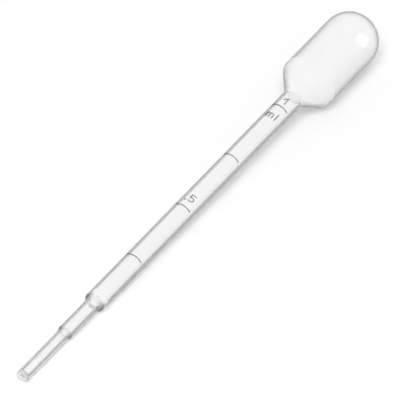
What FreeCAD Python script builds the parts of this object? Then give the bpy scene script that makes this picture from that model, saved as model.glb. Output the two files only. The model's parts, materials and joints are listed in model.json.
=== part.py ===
"""Graduated plastic dropper pipette, blow-moulded in one piece, in millimetres.

It lies as it comes to rest, with the rim of its tip and the shoulder of its bulb on z = 0.
The bulb points along +X and the tip along -X. The scale is on top, turned a little towards -Y.
The wall is made along the X axis with its mouth at the origin, and laid down at the end.
"""
import FreeCAD, Part
import math
import os

from FreeCAD import Placement, Rotation, Vector

os.makedirs("parts", exist_ok=True)

# Outside: lengths along the pipette, then diameters
tip_tube_length = 17.2
small_step_length = 1.2
middle_tube_length = 11.4
stem_step_length = 1.2
stem_length = 86.85
cone_half_angle = 36.0
bulb_straight_length = 18.4
tip_diameter = 3.1
middle_diameter = 3.75
stem_diameter = 5.3
bulb_diameter = 14.4

# Inside: bores, and the slopes and the bulb's walls, which are chosen and not measured
tip_bore = 1.45
middle_bore = 2.1
stem_bore = 3.87
step_lag = 0.3
inner_small_step_length = 1.6
inner_stem_step_length = 2.9
cone_wall = 0.45
bulb_wall = 0.3

# Rounded corners of the outside
lip_round = 0.25
step_foot_round = 0.6
step_crest_round = 0.5
neck_round = 0.5
shoulder_round = 0.8

# Rounded corners of the inside
inner_lip_round = 0.12
inner_step_round = 1.0
inner_neck_round = 1.1
inner_shoulder_round = 1.5

# The wall's seam, turned from the top: beside the lowest line, so that a flat of the part's mesh lies there.
# The true form is round, so it changes nothing there.
seam_turn = 183.7

# Scale: a line for each quarter of a millilitre given out, raised from the stem.
# The volume left behind is chosen, not known: it sets the first line 47.5 mm from the mouth.
mark_volume = 250.0
volume_left_behind = 12.0
mark_count = 4
mark_width = 0.3
mark_relief = 0.12
mark_root = 0.15
mark_span = 95.0
scale_turn = 12.0

# Numerals and letters, measured between the middles of their strokes
numeral_height = 2.15
numeral_width = 1.15
belly_radius = 0.66
belly_opening = 140.0
flag_width = 0.8
flag_drop = 0.9
point_diameter = 0.44
letter_height = 1.4
letter_pitch = 0.83
character_gap = 0.82
half_rise = 2.15
one_rise = 1.2
unit_drop = 4.65

# Stations along the axis, from the mouth
small_step_end = tip_tube_length + small_step_length
stem_step_start = small_step_end + middle_tube_length
stem_start = stem_step_start + stem_step_length
neck = stem_start + stem_length
cone_slope = math.tan(math.radians(cone_half_angle))
cone_end = neck + (bulb_diameter - stem_diameter) / 2 / cone_slope
dome_start = cone_end + bulb_straight_length
overall_length = dome_start + bulb_diameter / 2
inner_small_step = tip_tube_length + step_lag
inner_stem_step = stem_step_start + step_lag
stem_bore_start = inner_stem_step + inner_stem_step_length

# The inner line of the cone runs beside its outer line, one wall in
bulb_bore = bulb_diameter - 2 * bulb_wall
cone_wall_across = cone_wall / math.cos(math.radians(cone_half_angle))


def inner_cone_station(bore):
    """Station where the inside of the cone is this wide."""
    return neck + ((bore - stem_diameter) / 2 + cone_wall_across) / cone_slope


# Outlines from the mouth to the top of the dome: station, radius, corner radius
outer_outline = [
    (0.0, tip_diameter / 2, lip_round),
    (tip_tube_length, tip_diameter / 2, step_foot_round),
    (small_step_end, middle_diameter / 2, step_crest_round),
    (stem_step_start, middle_diameter / 2, step_foot_round),
    (stem_start, stem_diameter / 2, step_crest_round),
    (neck, stem_diameter / 2, neck_round),
    (cone_end, bulb_diameter / 2, shoulder_round),
    (overall_length, bulb_diameter / 2, bulb_diameter / 2),
    (overall_length, 0.0, 0.0),
]
inner_outline = [
    (0.0, tip_bore / 2, inner_lip_round),
    (inner_small_step, tip_bore / 2, inner_step_round),
    (inner_small_step + inner_small_step_length, middle_bore / 2, inner_step_round),
    (inner_stem_step, middle_bore / 2, inner_step_round),
    (stem_bore_start, stem_bore / 2, inner_step_round),
    (inner_cone_station(stem_bore), stem_bore / 2, inner_neck_round),
    (inner_cone_station(bulb_bore), bulb_bore / 2, inner_shoulder_round),
    (overall_length - bulb_wall, bulb_bore / 2, bulb_bore / 2),
    (overall_length - bulb_wall, 0.0, 0.0),
]


def rounded_corner(before, corner, after, radius):
    """Start, middle and end of the arc that rounds a corner."""
    to_before = (before - corner).normalize()
    to_after = (after - corner).normalize()
    half_opening = to_before.getAngle(to_after) / 2
    reach = radius / math.tan(half_opening)
    to_middle = radius / math.sin(half_opening) - radius
    inward = (to_before + to_after).normalize()
    return corner + to_before * reach, corner + inward * to_middle, corner + to_after * reach


def rounded_wire(outline):
    """Closed wire through the outline's corners, rounded where a corner has a radius."""
    corners = [Vector(station, 0, radius) for station, radius, _ in outline]
    count = len(corners)
    edges = []
    spans = []
    for i, (_, _, corner_radius) in enumerate(outline):
        start = end = corners[i]
        if corner_radius > 0:
            start, middle, end = rounded_corner(
                corners[i - 1], corners[i], corners[(i + 1) % count], corner_radius)
            edges.append(Part.Arc(start, middle, end).toShape())
        spans.append((start, end))
    for i, (_, end) in enumerate(spans):
        next_start = spans[(i + 1) % count][0]
        if end.distanceToPoint(next_start) > 1e-6:
            edges.append(Part.LineSegment(end, next_start).toShape())
    return Part.Wire(Part.__sortEdges__(edges))


def moulded_wall():
    """The pipette's wall from mouth to dome, turned about the X axis."""
    section = Part.Face(rounded_wire(outer_outline + inner_outline[::-1]))
    wall = section.revolve(Vector(0, 0, 0), Vector(1, 0, 0), 360)
    wall.rotate(Vector(0, 0, 0), Vector(1, 0, 0), seam_turn)
    return wall


def volume_below_stem():
    """Volume held between the mouth and the start of the stem's bore."""
    volume = 0.0
    for (start, r1, _), (end, r2, _) in zip(inner_outline[:4], inner_outline[1:5]):
        volume += math.pi * (end - start) * (r1 * r1 + r1 * r2 + r2 * r2) / 3
    return volume


def mark_station(number):
    """Station of a line of the scale, from the volume that the pipette gives out from it."""
    bore_area = math.pi * stem_bore ** 2 / 4
    volume_held = number * mark_volume + volume_left_behind
    return stem_bore_start + (volume_held - volume_below_stem()) / bore_area


def raised_band():
    """Thin tube round the stem, from the root of the raised marks to their top."""
    foot = Vector(stem_start + step_crest_round, 0, 0)
    length = neck - neck_round - foot.x
    outside = Part.makeCylinder(stem_diameter / 2 + mark_relief, length, foot, Vector(1, 0, 0))
    return outside.cut(Part.makeCylinder(stem_diameter / 2 - mark_root, length, foot, Vector(1, 0, 0)))


def line_bar(station):
    """Bar that leaves a line of the scale on the band, with its middle on top."""
    foot = Vector(station - mark_width / 2, 0, 0)
    bar = Part.makeCylinder(stem_diameter, mark_width, foot, Vector(1, 0, 0), mark_span)
    bar.rotate(Vector(0, 0, 0), Vector(1, 0, 0), -mark_span / 2)
    return bar


# A character is drawn across, to the right as it is read, and up, towards the bulb.
# Its strokes are upright prisms that leave their mark on the band.


def foot_point(across, up):
    """Point under a character on the plane through the axis."""
    return Vector(up, -across, 0)


def round_spot(across, up, diameter):
    """Round spot, also the end of a stroke."""
    return Part.makeCylinder(diameter / 2, stem_diameter, foot_point(across, up))


def stroke(start, end):
    """Straight stroke with round ends."""
    foot1, foot2 = foot_point(*start), foot_point(*end)
    along = foot2 - foot1
    side = Vector(-along.y, along.x, 0).normalize() * (mark_width / 2)
    outline = [foot1 + side, foot2 + side, foot2 - side, foot1 - side, foot1 + side]
    bar = Part.Face(Part.makePolygon(outline)).extrude(Vector(0, 0, stem_diameter))
    return [bar, round_spot(*start, mark_width), round_spot(*end, mark_width)]


def bow(centre, radius, start_angle, end_angle):
    """Round stroke, anticlockwise as it is read."""
    foot = foot_point(*centre)
    upright = Vector(0, 0, 1)
    outside = Part.makeCylinder(
        radius + mark_width / 2, stem_diameter, foot, upright, end_angle - start_angle)
    ring = outside.cut(Part.makeCylinder(radius - mark_width / 2, stem_diameter, foot))
    ring.rotate(foot, upright, start_angle - 90)
    return [ring]


def point_character():
    """Decimal point and its width."""
    return [round_spot(0, 0, point_diameter)], 0.0


def five_character():
    """Numeral five and its width."""
    belly_middle = (numeral_width - belly_radius, belly_radius)
    join_angle = 180 - math.degrees(math.acos(belly_middle[0] / belly_radius))
    join_up = belly_radius * (1 + math.sin(math.radians(join_angle)))
    top_left = (0, numeral_height)
    strokes = stroke(top_left, (numeral_width, numeral_height))
    strokes += stroke(top_left, (0, join_up))
    strokes += bow(belly_middle, belly_radius, -belly_opening, join_angle)
    return strokes, numeral_width


def one_character():
    """Numeral one and its width."""
    top = (flag_width, numeral_height)
    strokes = stroke((flag_width, 0), top)
    strokes += stroke(top, (0, numeral_height - flag_drop))
    return strokes, flag_width


def m_character():
    """Letter m and its width."""
    arch_radius = letter_pitch / 2
    strokes = stroke((0, 0), (0, letter_height))
    for leg in (letter_pitch, 2 * letter_pitch):
        strokes += bow((leg - arch_radius, letter_height - arch_radius), arch_radius, 0, 180)
        strokes += stroke((leg, letter_height - arch_radius), (leg, 0))
    return strokes, 2 * letter_pitch


def l_character():
    """Letter l and its width."""
    return stroke((0, 0), (0, numeral_height)), 0.0


def written(characters, base_station):
    """Characters side by side, centred on top of the stem."""
    total_width = sum(width for _, width in characters) + character_gap * (len(characters) - 1)
    across = -total_width / 2
    solids = []
    for strokes, width in characters:
        for solid in strokes:
            solid.translate(foot_point(across, base_station))
            solids.append(solid)
        across += width + character_gap
    return solids


def raised_marks():
    """Every line, numeral and letter of the scale, as they stand out of the stem."""
    half_line = mark_station(mark_count / 2)
    full_line = mark_station(mark_count)
    cutters = [line_bar(mark_station(number)) for number in range(1, mark_count + 1)]
    cutters += written([point_character(), five_character()], half_line + half_rise)
    cutters += written([one_character()], full_line + one_rise)
    cutters += written([m_character(), l_character()], full_line - unit_drop)
    marks = raised_band().common(cutters[0].fuse(cutters[1:]))
    marks.rotate(Vector(0, 0, 0), Vector(1, 0, 0), scale_turn)
    return marks


def resting_tilt():
    """Tilt at which the rounded rim of the tip and the rounded shoulder of the bulb touch one plane."""
    shoulder_middle = cone_end + shoulder_round * math.tan(math.radians(cone_half_angle / 2))
    run = shoulder_middle - lip_round
    rise = (bulb_diameter - tip_diameter) / 2 - (shoulder_round - lip_round)
    return math.atan2(rise, run) + math.asin((shoulder_round - lip_round) / math.hypot(run, rise))


def resting_placement():
    """Lays the pipette down, with the middle of its length and width at the origin."""
    tilt = resting_tilt()
    rim_middle = tip_diameter / 2 - lip_round
    back_end = lip_round * math.cos(tilt) - rim_middle * math.sin(tilt) - lip_round
    front_end = dome_start * math.cos(tilt) + bulb_diameter / 2
    height = rim_middle * math.cos(tilt) - lip_round * math.sin(tilt) + lip_round
    shift = Vector(-(back_end + front_end) / 2, 0, height)
    return Placement(shift, Rotation(Vector(0, 1, 0), -math.degrees(tilt)))


pipette = moulded_wall().fuse(raised_marks().Solids).removeSplitter()
if len(pipette.Solids) == 1:
    pipette = pipette.Solids[0]
pipette.Placement = resting_placement()
pipette.exportStep("parts/pipette.step")

print("solids", len(pipette.Solids), "valid", pipette.isValid())
print("overall length", round(overall_length, 2), "box", pipette.BoundBox)
print("tilt", round(math.degrees(resting_tilt()), 3), "degrees")
print("lines of the scale at", [round(mark_station(number), 2) for number in range(1, mark_count + 1)])
print("wall volume", round(pipette.Volume, 1), "mm3")
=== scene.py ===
"""Clear plastic dropper pipette lying on a pale table with its scale up.

The wall is drawn in millimetres along a line from its mouth, and then laid where the frame has it.
"""
import json
import math

import bmesh
import bpy
from mathutils import Matrix, Vector


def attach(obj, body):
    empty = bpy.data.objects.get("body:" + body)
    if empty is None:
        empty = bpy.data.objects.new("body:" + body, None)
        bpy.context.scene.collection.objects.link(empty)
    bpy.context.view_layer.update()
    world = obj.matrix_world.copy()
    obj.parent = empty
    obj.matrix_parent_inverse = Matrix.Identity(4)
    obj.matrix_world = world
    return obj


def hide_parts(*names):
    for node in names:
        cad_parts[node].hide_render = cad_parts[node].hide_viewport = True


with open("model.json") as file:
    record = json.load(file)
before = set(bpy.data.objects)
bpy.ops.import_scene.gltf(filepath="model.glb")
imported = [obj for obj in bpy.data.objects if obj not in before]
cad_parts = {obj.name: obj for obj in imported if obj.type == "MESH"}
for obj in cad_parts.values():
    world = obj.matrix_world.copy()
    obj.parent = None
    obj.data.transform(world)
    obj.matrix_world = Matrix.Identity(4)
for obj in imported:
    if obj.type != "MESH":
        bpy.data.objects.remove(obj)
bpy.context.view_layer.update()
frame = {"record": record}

MM = 0.001

# ---------------------------------------------------------------- sizes of the moulding, in millimetres

tip_tube_length = 17.2
step_length = 1.2
middle_tube_length = 11.4
stem_length = 86.85
cone_half_angle = math.radians(36.0)
bulb_straight_length = 18.4
tip_radius = 1.55
middle_radius = 1.875
stem_radius = 2.65
bulb_radius = 7.2

tip_bore_radius = 0.725
middle_bore_radius = 1.05
stem_bore_radius = 1.935
step_lag = 0.3
inner_small_step_length = 1.6
inner_stem_step_length = 2.9
cone_wall = 0.45
bulb_wall = 0.3

lip_round = 0.25
step_foot_round = 0.6
step_crest_round = 0.5
neck_round = 0.5
shoulder_round = 0.8
inner_lip_round = 0.12
inner_step_round = 1.0
inner_neck_round = 1.1
inner_shoulder_round = 1.5

first_line_station = 47.45
line_spacing = 21.25
line_count = 4
line_half_span = math.radians(47.5)
stroke_half_width = 0.15
stroke_relief = 0.12
stroke_edge = 0.09
scale_turn = math.radians(12.0)

# Stations along the axis, from the mouth
small_step_end = tip_tube_length + step_length
stem_step_start = small_step_end + middle_tube_length
stem_start = stem_step_start + step_length
neck = stem_start + stem_length
cone_end = neck + (bulb_radius - stem_radius) / math.tan(cone_half_angle)
dome_start = cone_end + bulb_straight_length
overall_length = dome_start + bulb_radius
bulb_bore_radius = bulb_radius - bulb_wall
lip_middle = (tip_radius - lip_round + tip_bore_radius + inner_lip_round) / 2
inner_small_step = tip_tube_length + step_lag
inner_stem_step = stem_step_start + step_lag


def inner_cone_station(radius):
    """Station where the inside of the cone has this radius."""
    wall_across = cone_wall / math.cos(cone_half_angle)
    return neck + (radius - stem_radius + wall_across) / math.tan(cone_half_angle)


# Outlines from the mouth to the top of the dome: station, radius, corner radius
outer_outline = [
    (0.0, lip_middle, 0.0),
    (0.0, tip_radius, lip_round),
    (tip_tube_length, tip_radius, step_foot_round),
    (small_step_end, middle_radius, step_crest_round),
    (stem_step_start, middle_radius, step_foot_round),
    (stem_start, stem_radius, step_crest_round),
    (neck, stem_radius, neck_round),
    (cone_end, bulb_radius, shoulder_round),
    (overall_length, bulb_radius, bulb_radius),
    (overall_length, 0.0, 0.0),
]
inner_outline = [
    (0.0, lip_middle, 0.0),
    (0.0, tip_bore_radius, inner_lip_round),
    (inner_small_step, tip_bore_radius, inner_step_round),
    (inner_small_step + inner_small_step_length, middle_bore_radius, inner_step_round),
    (inner_stem_step, middle_bore_radius, inner_step_round),
    (inner_stem_step + inner_stem_step_length, stem_bore_radius, inner_step_round),
    (inner_cone_station(stem_bore_radius), stem_bore_radius, inner_neck_round),
    (inner_cone_station(bulb_bore_radius), bulb_bore_radius, inner_shoulder_round),
    (overall_length - bulb_wall, bulb_bore_radius, bulb_bore_radius),
    (overall_length - bulb_wall, 0.0, 0.0),
]


# ---------------------------------------------------------------- the scale's lines and characters

# A stroke runs across, to the right as it is read, and up, towards the bulb.


def straight(start, end):
    """Distance function of a straight stroke."""
    foot = Vector(start)
    along = Vector(end) - foot
    length_squared = max(along.length_squared, 1e-9)

    def distance(point):
        share = min(max((point - foot).dot(along) / length_squared, 0.0), 1.0)
        return (point - foot - along * share).length

    return distance


def bow(centre, radius, start_angle, end_angle):
    """Distance function of a round stroke, anticlockwise as it is read, in degrees."""
    middle = Vector(centre)
    half_opening = math.radians(end_angle - start_angle) / 2
    middle_angle = math.radians(end_angle + start_angle) / 2
    ends = [
        middle + Vector((math.cos(a), math.sin(a))) * radius
        for a in (middle_angle - half_opening, middle_angle + half_opening)
    ]

    def distance(point):
        out = point - middle
        turn = math.remainder(math.atan2(out.y, out.x) - middle_angle, math.tau)
        if abs(turn) <= half_opening:
            return abs(out.length - radius)
        return min((point - end).length for end in ends)

    return distance


numeral_height = 2.15
numeral_width = 1.15
belly_radius = 0.66
belly_opening = 140.0
flag_width = 0.8
flag_drop = 0.9
point_radius = 0.22
letter_height = 1.4
letter_pitch = 0.83
character_gap = 0.82
half_rise = 2.15
one_rise = 1.2
unit_drop = 4.65


def point_strokes(left, base):
    """Decimal point: a stroke of no length, a little wider than the rest."""
    spot = straight((left, base), (left, base))
    return [lambda point: spot(point) - point_radius + stroke_half_width]


def five_strokes(left, base):
    """Numeral five."""
    join_angle = 180 - math.degrees(math.acos((numeral_width - belly_radius) / belly_radius))
    join_up = belly_radius * (1 + math.sin(math.radians(join_angle)))
    top = base + numeral_height
    belly_middle = (left + numeral_width - belly_radius, base + belly_radius)
    return [
        straight((left, top), (left + numeral_width, top)),
        straight((left, top), (left, base + join_up)),
        bow(belly_middle, belly_radius, -belly_opening, join_angle),
    ]


def one_strokes(left, base):
    """Numeral one."""
    top = (left + flag_width, base + numeral_height)
    return [
        straight((left + flag_width, base), top),
        straight(top, (left, base + numeral_height - flag_drop)),
    ]


def m_strokes(left, base):
    """Letter m."""
    arch_radius = letter_pitch / 2
    arch_foot = base + letter_height - arch_radius
    strokes = [straight((left, base), (left, base + letter_height))]
    for leg in (left + letter_pitch, left + 2 * letter_pitch):
        strokes.append(bow((leg - arch_radius, arch_foot), arch_radius, 0, 180))
        strokes.append(straight((leg, arch_foot), (leg, base)))
    return strokes


def l_strokes(left, base):
    """Letter l."""
    return [straight((left, base), (left, base + numeral_height))]


character_widths = {
    point_strokes: 0.0,
    five_strokes: numeral_width,
    one_strokes: flag_width,
    m_strokes: 2 * letter_pitch,
    l_strokes: 0.0,
}


def written(characters, base):
    """Strokes of characters side by side, centred on the scale."""
    total = sum(character_widths[c] for c in characters) + character_gap * (len(characters) - 1)
    left = -total / 2
    strokes = []
    for character in characters:
        strokes += character(left, base)
        left += character_widths[character] + character_gap
    return strokes


line_stations = [first_line_station + line_spacing * n for n in range(line_count)]
half_base = line_stations[1] + half_rise
one_base = line_stations[3] + one_rise
unit_base = line_stations[3] - unit_drop
stroke_room = 0.4
inscription_half_span = 1.2
inscriptions = [
    (half_base, numeral_height, written([point_strokes, five_strokes], half_base)),
    (one_base, numeral_height, written([one_strokes], one_base)),
    (unit_base, numeral_height, written([m_strokes, l_strokes], unit_base)),
]


def stroke_height(distance):
    """How far the plastic stands out at a distance from the middle of a stroke."""
    share = (stroke_half_width + stroke_edge / 2 - distance) / stroke_edge
    share = min(max(share, 0.0), 1.0)
    return stroke_relief * share * share * (3 - 2 * share)


def mark_height(station, turn):
    """Height of the scale's marks on the stem, at an angle from the scale's middle line."""
    height = 0.0
    for line in line_stations:
        if abs(station - line) < stroke_room:
            past_end = max(abs(turn) - line_half_span, 0.0) * stem_radius
            height = max(height, stroke_height(math.hypot(station - line, past_end)))
    for base, tall, strokes in inscriptions:
        beside = base - stroke_room < station < base + tall + stroke_room
        if beside and abs(turn) < inscription_half_span:
            point = Vector((math.sin(turn) * stem_radius, station))
            nearest = min(distance(point) for distance in strokes)
            height = max(height, stroke_height(nearest))
    return height


# ---------------------------------------------------------------- the wall

arc_step = math.radians(9.0)
ring_spacing = 1.6
fine_ring_spacing = 0.055
column_step = math.radians(5.0)
fine_column_step = math.radians(1.35)
fine_reach = line_half_span + math.radians(3.0)
closest_rings = 0.001
# Reach of the whitish lining in the bore, painted light for the bright open mouth.
painted_lining_reach = 1.0
inside_haze = 0.12
step_haze = 0.6
outer_steps = [(tip_tube_length, small_step_end), (stem_step_start, stem_start)]
longest_plain = 1.2
corner_support = 0.12


def rounded_points(outline):
    """Points of an outline, with its corners turned as arcs."""
    points = []
    for i, (station, radius, corner_radius) in enumerate(outline):
        corner = Vector((station, radius))
        if corner_radius == 0.0:
            points.append(corner)
            continue
        back = (Vector(outline[i - 1][:2]) - corner).normalized()
        ahead = (Vector(outline[i + 1][:2]) - corner).normalized()
        half_opening = back.angle(ahead) / 2
        centre = corner + (back + ahead).normalized() * corner_radius / math.sin(half_opening)
        first = corner + back * corner_radius / math.tan(half_opening) - centre
        turn = math.pi - 2 * half_opening
        if back.x * ahead.y - back.y * ahead.x > 0:
            turn = -turn
        steps = max(4, math.ceil(abs(turn) / arc_step))
        for k in range(steps + 1):
            points.append(centre + Matrix.Rotation(turn * k / steps, 2) @ first)
    return points


def near_a_mark(station):
    """True where the stem's rings lie close together to carry the scale."""
    if any(abs(station - line) < stroke_room for line in line_stations):
        return True
    return any(
        base - stroke_room < station < base + tall + stroke_room
        for base, tall, _ in inscriptions
    )


def filled(points, steps):
    """The points, with rings between them on the long straight runs and beside each corner."""
    rings = [points[0]]
    for start, end in zip(points, points[1:]):
        length = (end - start).length
        if length < closest_rings:
            continue
        if length > longest_plain:
            first = start.lerp(end, corner_support / length)
            last = end.lerp(start, corner_support / length)
            rings.append(first)
            for station in steps:
                if first.x < station < last.x:
                    rings.append(first.lerp(last, (station - first.x) / (last.x - first.x)))
            rings.append(last)
        rings.append(end)
    return rings


def at_a_step(station):
    """One on the outer slopes of the steps, and nought on the plain tubes."""
    return float(any(start < station < end for start, end in outer_steps))


def ring_stations():
    """Stations of the outer rings, close together where the stem carries the scale."""
    stations = [0.0]
    while stations[-1] < overall_length:
        here = stations[-1]
        fine = near_a_mark(here) or near_a_mark(here + fine_ring_spacing)
        ahead = here + fine_ring_spacing
        while not fine and ahead - here < ring_spacing and not near_a_mark(ahead):
            ahead += fine_ring_spacing
        stations.append(ahead)
    return stations


def column_turns():
    """Angles of the columns from the scale's middle line, close together over the scale."""
    fine_count = math.ceil(2 * fine_reach / fine_column_step)
    coarse_count = math.ceil((math.tau - 2 * fine_reach) / column_step)
    turns = [-fine_reach + 2 * fine_reach * k / fine_count for k in range(fine_count)]
    turns += [fine_reach + (math.tau - 2 * fine_reach) * k / coarse_count for k in range(coarse_count)]
    return [math.remainder(turn, math.tau) for turn in turns]


def moulding_mesh():
    """The whole wall as one closed mesh: outside, lip and inside.

    Its points carry two values: "stroke", for the raised marks and the painted shade round the lip's
    rim, and "haze", for roughness.
    """
    mesh = bmesh.new()
    stroke = mesh.verts.layers.float.new("stroke")
    haze = mesh.verts.layers.float.new("haze")
    turns = column_turns()

    def ring_of(point, marked, haziness, rim=0.0):
        if point.y < closest_rings:
            pole = mesh.verts.new((point.x, 0.0, 0.0))
            pole[haze] = haziness
            return [pole]
        ring = []
        for turn in turns:
            height = mark_height(point.x, turn) if marked else 0.0
            radius = point.y + height
            around = scale_turn + turn
            corner = mesh.verts.new((point.x, -math.sin(around) * radius, math.cos(around) * radius))
            corner[stroke] = max(height / stroke_relief, rim)
            corner[haze] = haziness
            ring.append(corner)
        return ring

    def skin(rings, outward):
        for ring, next_ring in zip(rings, rings[1:]):
            for i in range(len(turns)):
                j = (i + 1) % len(turns)
                if len(next_ring) == 1:
                    corners = [ring[i], ring[j], next_ring[0]]
                else:
                    corners = [ring[i], ring[j], next_ring[j], next_ring[i]]
                face = mesh.faces.new(corners if outward else corners[::-1])
                face.smooth = True

    inner_stations = [painted_lining_reach]
    while inner_stations[-1] < overall_length:
        inner_stations.append(inner_stations[-1] + ring_spacing)
    outer = filled(rounded_points(outer_outline), ring_stations())
    inner = filled(rounded_points(inner_outline), inner_stations)
    outer_rings = []
    for point in outer:
        # rim: painted shade, darker towards the mouth on the lip's outer rounding, for the dark outline
        # of the mouth's edge.
        rim = max(1 - point.x / lip_round, 0.0) if point.y > tip_radius - lip_round else 0.0
        on_stem = stem_start < point.x < neck
        outer_rings.append(ring_of(point, on_stem, step_haze * at_a_step(point.x), rim))
    inner_rings = [outer_rings[0]] + [ring_of(p, False, inside_haze) for p in inner[1:]]
    skin(outer_rings, True)
    skin(inner_rings, False)
    # The lip and the first millimetre of the bore take the second material; in the bore its whitish
    # colour is painted light for the bright open mouth.
    for face in mesh.faces:
        outside_reach = all(corner.co.x < lip_round for corner in face.verts)
        inside_reach = all(corner.co.x < painted_lining_reach + closest_rings for corner in face.verts)
        if outside_reach or inside_reach and face.calc_center_median().yz.length < tip_bore_radius:
            face.material_index = 1
    bmesh.ops.recalc_face_normals(mesh, faces=mesh.faces)
    return mesh


def laid_down():
    """Where the frame has the pipette: its axis and its mouth."""
    mount = next(m for m in frame["record"]["mounts"] if m["name"] == "tip_bore")
    mouth_to_mount = 8.75 * MM
    along = -Vector(mount["axis"]).normalized()
    mouth = Vector(mount["pos_m"]) - along * mouth_to_mount
    side = Vector((0.0, 1.0, 0.0))
    up = along.cross(side)
    turn = Matrix((along, side, up)).transposed().to_4x4()
    return Matrix.Translation(mouth) @ turn @ Matrix.Scale(MM, 4)


def new_object(name, mesh, materials):
    """An object made from a bmesh."""
    data = bpy.data.meshes.new(name)
    mesh.to_mesh(data)
    mesh.free()
    for material in materials:
        data.materials.append(material)
    thing = bpy.data.objects.new(name, data)
    bpy.context.scene.collection.objects.link(thing)
    return thing


# ---------------------------------------------------------------- materials


class Nodes:
    """Short ways to add nodes and to join them."""

    def __init__(self, tree):
        self.tree = tree
        tree.nodes.clear()

    def add(self, kind, **values):
        node = self.tree.nodes.new(kind)
        for name, value in values.items():
            setattr(node, name, value)
        return node

    def join(self, source, target):
        self.tree.links.new(source, target)


def new_material(name):
    material = bpy.data.materials.new(name)
    material.use_nodes = True
    return material, Nodes(material.node_tree)


def clear_polyethylene():
    """Clear soft plastic, hazier inside and at the steps, with its raised marks tinted dark.

    The haze at the steps and the small share of diffuse light soften the black arcs in the wall there.
    """
    material, nodes = new_material("clear_polyethylene")
    output = nodes.add("ShaderNodeOutputMaterial")
    plastic = nodes.add("ShaderNodeBsdfPrincipled")
    plastic.inputs["Transmission Weight"].default_value = 0.97
    plastic.inputs["IOR"].default_value = 1.51
    nodes.join(plastic.outputs["BSDF"], output.inputs["Surface"])

    depth = nodes.add("ShaderNodeVolumeAbsorption")
    depth.inputs["Color"].default_value = (0.3, 0.4, 0.36, 1.0)
    depth.inputs["Density"].default_value = 15.0
    nodes.join(depth.outputs["Volume"], output.inputs["Volume"])

    place = nodes.add("ShaderNodeTexCoord")
    cloud = nodes.add("ShaderNodeTexNoise")
    cloud.inputs["Scale"].default_value = 260.0
    cloud.inputs["Detail"].default_value = 3.0
    nodes.join(place.outputs["Object"], cloud.inputs["Vector"])

    tint = nodes.add("ShaderNodeValToRGB")
    tint.color_ramp.elements[0].position = 0.3
    tint.color_ramp.elements[0].color = (0.985, 0.99, 0.987, 1.0)
    tint.color_ramp.elements[1].position = 0.7
    tint.color_ramp.elements[1].color = (1.0, 1.0, 1.0, 1.0)
    nodes.join(cloud.outputs["Fac"], tint.inputs["Fac"])

    stroke = nodes.add("ShaderNodeAttribute", attribute_name="stroke")
    marked = nodes.add("ShaderNodeMix", data_type="RGBA")
    marked.inputs["B"].default_value = (0.1, 0.1, 0.1, 1.0)
    nodes.join(stroke.outputs["Fac"], marked.inputs["Factor"])
    nodes.join(tint.outputs["Color"], marked.inputs["A"])
    nodes.join(marked.outputs["Result"], plastic.inputs["Base Color"])

    polish = nodes.add("ShaderNodeMapRange")
    polish.inputs["From Min"].default_value = 0.3
    polish.inputs["From Max"].default_value = 0.7
    polish.inputs["To Min"].default_value = 0.02
    polish.inputs["To Max"].default_value = 0.06
    nodes.join(cloud.outputs["Fac"], polish.inputs["Value"])
    haziness = nodes.add("ShaderNodeAttribute", attribute_name="haze")
    roughness = nodes.add("ShaderNodeMath", operation="ADD")
    nodes.join(polish.outputs["Result"], roughness.inputs[0])
    nodes.join(haziness.outputs["Fac"], roughness.inputs[1])
    nodes.join(roughness.outputs["Value"], plastic.inputs["Roughness"])
    return material


def trimmed_edge_and_painted_light():
    """The lip and the first stretch of the bore: matt and whitish. On the lip this is the cut edge's
    own colour; in the bore it is painted light, so that the open mouth looks bright. Darker round the
    rim: painted shade for the dark outline of the mouth.
    """
    material, nodes = new_material("trimmed_edge_and_painted_light")
    output = nodes.add("ShaderNodeOutputMaterial")
    edge = nodes.add("ShaderNodeBsdfPrincipled")
    edge.inputs["Roughness"].default_value = 0.45
    nodes.join(edge.outputs["BSDF"], output.inputs["Surface"])
    place = nodes.add("ShaderNodeTexCoord")
    knife = nodes.add("ShaderNodeTexNoise")
    knife.inputs["Scale"].default_value = 4000.0
    nodes.join(place.outputs["Object"], knife.inputs["Vector"])
    shade = nodes.add("ShaderNodeValToRGB")
    shade.color_ramp.elements[0].position = 0.3
    shade.color_ramp.elements[0].color = (0.84, 0.85, 0.84, 1.0)
    shade.color_ramp.elements[1].position = 0.7
    shade.color_ramp.elements[1].color = (0.92, 0.93, 0.92, 1.0)
    nodes.join(knife.outputs["Fac"], shade.inputs["Fac"])
    # Painted shade: the lip's outer rounding is darker towards the mouth, for the dark outline of the
    # mouth's edge.
    rim = nodes.add("ShaderNodeAttribute", attribute_name="stroke")
    rimmed = nodes.add("ShaderNodeMix", data_type="RGBA")
    rimmed.inputs["B"].default_value = (0.4, 0.41, 0.4, 1.0)
    nodes.join(rim.outputs["Fac"], rimmed.inputs["Factor"])
    nodes.join(shade.outputs["Color"], rimmed.inputs["A"])
    nodes.join(rimmed.outputs["Result"], edge.inputs["Base Color"])
    return material


def glow(nodes, level):
    """An emission of this strength."""
    light = nodes.add("ShaderNodeEmission")
    light.inputs["Strength"].default_value = level
    return light.outputs["Emission"]


def product(nodes, first, second):
    """Two factors multiplied; the second may be a number."""
    node = nodes.add("ShaderNodeMath", operation="MULTIPLY")
    nodes.join(first, node.inputs[0])
    if isinstance(second, float):
        node.inputs[1].default_value = second
    else:
        nodes.join(second, node.inputs[1])
    return node.outputs["Value"]


def compared(nodes, value, operation, limit):
    """One where the value passes the limit."""
    node = nodes.add("ShaderNodeMath", operation=operation)
    nodes.join(value, node.inputs[0])
    node.inputs[1].default_value = limit
    return node.outputs["Value"]


def blended(nodes, factor, first, second):
    """Two shaders mixed by a factor."""
    node = nodes.add("ShaderNodeMixShader")
    nodes.join(factor, node.inputs["Fac"])
    nodes.join(first, node.inputs[1])
    nodes.join(second, node.inputs[2])
    return node.outputs["Shader"]


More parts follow.
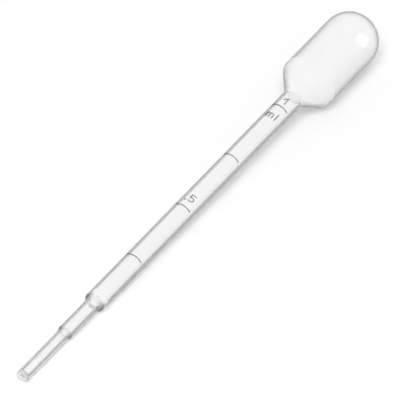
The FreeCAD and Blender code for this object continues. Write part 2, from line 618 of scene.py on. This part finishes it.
# Glow levels of the table for rays from the plastic: painted light through both walls, and painted
# shade for turned rays and glancing reflections. backdrop_lift evenly brightens the table for the
# camera.
through_painted_light = 1.0
turned_painted_shade = 0.48
glance_share = 0.7
glance_painted_shade = 0.5
backdrop_lift = 0.12


def pale_table():
    """White table top, which keeps the shadow.

    A plain table looks grey through the plastic. So a ray that has crossed both walls sees the table
    glow white here, painted light that hides the shadow under the pipette. One that was turned inside a
    single wall sees a darker glow, painted shade for the dark bands along the pipette's edges, and one
    that glanced off the outside sees a darker glow too, a painted dark reflection. These levels are
    chosen for the look.
    """
    material, nodes = new_material("pale_table")
    output = nodes.add("ShaderNodeOutputMaterial")
    top = nodes.add("ShaderNodeBsdfPrincipled")
    top.inputs["Base Color"].default_value = (0.97, 0.97, 0.97, 1.0)
    top.inputs["Roughness"].default_value = 0.9
    top.inputs["Specular IOR Level"].default_value = 0.1
    ray = nodes.add("ShaderNodeLightPath")
    passed = ray.outputs["Is Transmission Ray"]
    bounced = compared(nodes, ray.outputs["Glossy Depth"], "GREATER_THAN", 0.5)
    one_wall = compared(nodes, ray.outputs["Transmission Depth"], "LESS_THAN", 2.5)
    turned = product(nodes, product(nodes, bounced, one_wall), passed)
    both_walls = compared(nodes, ray.outputs["Transmission Depth"], "GREATER_THAN", 2.5)
    straight_through = product(nodes, passed, both_walls)
    # Painted light: a ray through both walls sees the table glow white, without the shadow.
    surface = blended(nodes, straight_through, top.outputs["BSDF"], glow(nodes, through_painted_light))
    # Painted shade: a ray turned inside one wall sees a darker glow, for the dark bands at the
    # pipette's edges.
    surface = blended(nodes, turned, surface, glow(nodes, turned_painted_shade))
    on_the_way = compared(nodes, ray.outputs["Transmission Depth"], "LESS_THAN", 0.5)
    mirrored = product(nodes, ray.outputs["Is Reflection Ray"], ray.outputs["Is Glossy Ray"])
    glanced = product(nodes, mirrored, on_the_way)
    # Painted shade in reflections: a glancing reflection off the outside sees a darker glow.
    surface = blended(nodes, product(nodes, glanced, glance_share), surface, glow(nodes, glance_painted_shade))
    lift = blended(nodes, ray.outputs["Is Camera Ray"], glow(nodes, 0.0), glow(nodes, backdrop_lift))
    total = nodes.add("ShaderNodeAddShader")
    nodes.join(surface, total.inputs[0])
    nodes.join(lift, total.inputs[1])
    nodes.join(total.outputs["Shader"], output.inputs["Surface"])
    return material


# ---------------------------------------------------------------- the pipette

pipette = new_object("moulded_pipette", moulding_mesh(), [clear_polyethylene(), trimmed_edge_and_painted_light()])
pipette.data.transform(laid_down())
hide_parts("pipette")
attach(pipette, "root")

# ---------------------------------------------------------------- table, light and camera

table_half_width = 1.5
table_mesh = bmesh.new()
table_corners = [(-1, -1), (1, -1), (1, 1), (-1, 1)]
table_mesh.faces.new(
    [table_mesh.verts.new((x * table_half_width, y * table_half_width, 0.0)) for x, y in table_corners]
)
table = new_object("table_top", table_mesh, [pale_table()])


horizon_shade = 0.65
clear_height = 0.45
sky_light = 0.55


def studio_sky():
    """Soft room light: white overhead and dimmer towards the horizon, and plain white as a backdrop."""
    world = bpy.data.worlds.new("studio")
    bpy.context.scene.world = world
    world.use_nodes = True
    nodes = Nodes(world.node_tree)
    output = nodes.add("ShaderNodeOutputWorld")
    place = nodes.add("ShaderNodeTexCoord")
    split = nodes.add("ShaderNodeSeparateXYZ")
    nodes.join(place.outputs["Generated"], split.inputs["Vector"])
    ramp = nodes.add("ShaderNodeValToRGB")
    ramp.color_ramp.elements[0].position = 0.0
    ramp.color_ramp.elements[0].color = (horizon_shade, horizon_shade, horizon_shade, 1.0)
    ramp.color_ramp.elements[1].position = clear_height
    ramp.color_ramp.elements[1].color = (1.0, 1.0, 1.0, 1.0)
    nodes.join(split.outputs["Z"], ramp.inputs["Fac"])

    def sky(strength):
        light = nodes.add("ShaderNodeBackground")
        light.inputs["Strength"].default_value = strength
        nodes.join(ramp.outputs["Color"], light.inputs["Color"])
        return light.outputs["Background"]

    backdrop = nodes.add("ShaderNodeBackground")
    backdrop.inputs["Color"].default_value = (1.0, 1.0, 1.0, 1.0)
    ray = nodes.add("ShaderNodeLightPath")
    seen = blended(nodes, ray.outputs["Is Glossy Ray"], sky(sky_light), sky(1.0))
    seen = blended(nodes, ray.outputs["Is Transmission Ray"], seen, sky(1.0))
    seen = blended(nodes, ray.outputs["Is Camera Ray"], seen, backdrop.outputs["Background"])
    nodes.join(seen, output.inputs["Surface"])


def softbox(name, direction, distance, width, height, brightness):
    """A soft lamp that faces the pipette."""
    data = bpy.data.lights.new(name, "AREA")
    data.shape = "RECTANGLE"
    data.size = width
    data.size_y = height
    data.energy = brightness * math.pi * width * height
    lamp = bpy.data.objects.new(name, data)
    bpy.context.scene.collection.objects.link(lamp)
    towards = Vector(direction).normalized()
    lamp.location = towards * distance
    lamp.rotation_mode = "QUATERNION"
    lamp.rotation_quaternion = towards.to_track_quat("Z", "Y")
    return lamp


studio_sky()

# The top softbox gives the light and the shadow, and the side one only a highlight on the dome
top_box = softbox("top_softbox", (-0.455, -0.261, 0.852), 3.0, 1.3, 1.3, 8.0)
top_box.visible_glossy = False
top_box.visible_transmission = False
side_box = softbox("side_softbox", (-0.82, 0.453, 0.35), 0.9, 0.8, 0.55, 7.0)
side_box.visible_diffuse = False

view_azimuth = math.radians(-56.76)
view_elevation = math.radians(39.1)
picture_width = 95.65 * MM
aim_station = 75.39
aim_below_axis = 0.99 * MM
long_lens = 1500.0
sensor_width = 36.0

camera_data = bpy.data.cameras.new("camera")
camera = bpy.data.objects.new("camera", camera_data)
bpy.context.scene.collection.objects.link(camera)
bpy.context.scene.camera = camera
camera_data.lens = long_lens
camera_data.sensor_width = sensor_width
back = Vector((
    math.sin(view_azimuth) * math.cos(view_elevation),
    -math.cos(view_azimuth) * math.cos(view_elevation),
    math.sin(view_elevation),
))
camera.rotation_mode = "QUATERNION"
camera.rotation_quaternion = (-back).to_track_quat("-Z", "Y")
right = camera.rotation_quaternion @ Vector((1.0, 0.0, 0.0))
upward = camera.rotation_quaternion @ Vector((0.0, 1.0, 0.0))
axis_in_picture = laid_down() @ Vector((1.0, 0.0, 0.0)) - laid_down() @ Vector((0.0, 0.0, 0.0))
across_axis = Vector((axis_in_picture.dot(upward), -axis_in_picture.dot(right))).normalized()
aim = laid_down() @ Vector((aim_station, 0.0, 0.0))
aim += (right * across_axis.x + upward * across_axis.y) * aim_below_axis
distance = picture_width / 2 * long_lens / (sensor_width / 2)
camera.location = aim + back * distance
camera_data.clip_start = 0.1
camera_data.clip_end = 20.0

scene = bpy.context.scene
scene.view_settings.view_transform = "Standard"
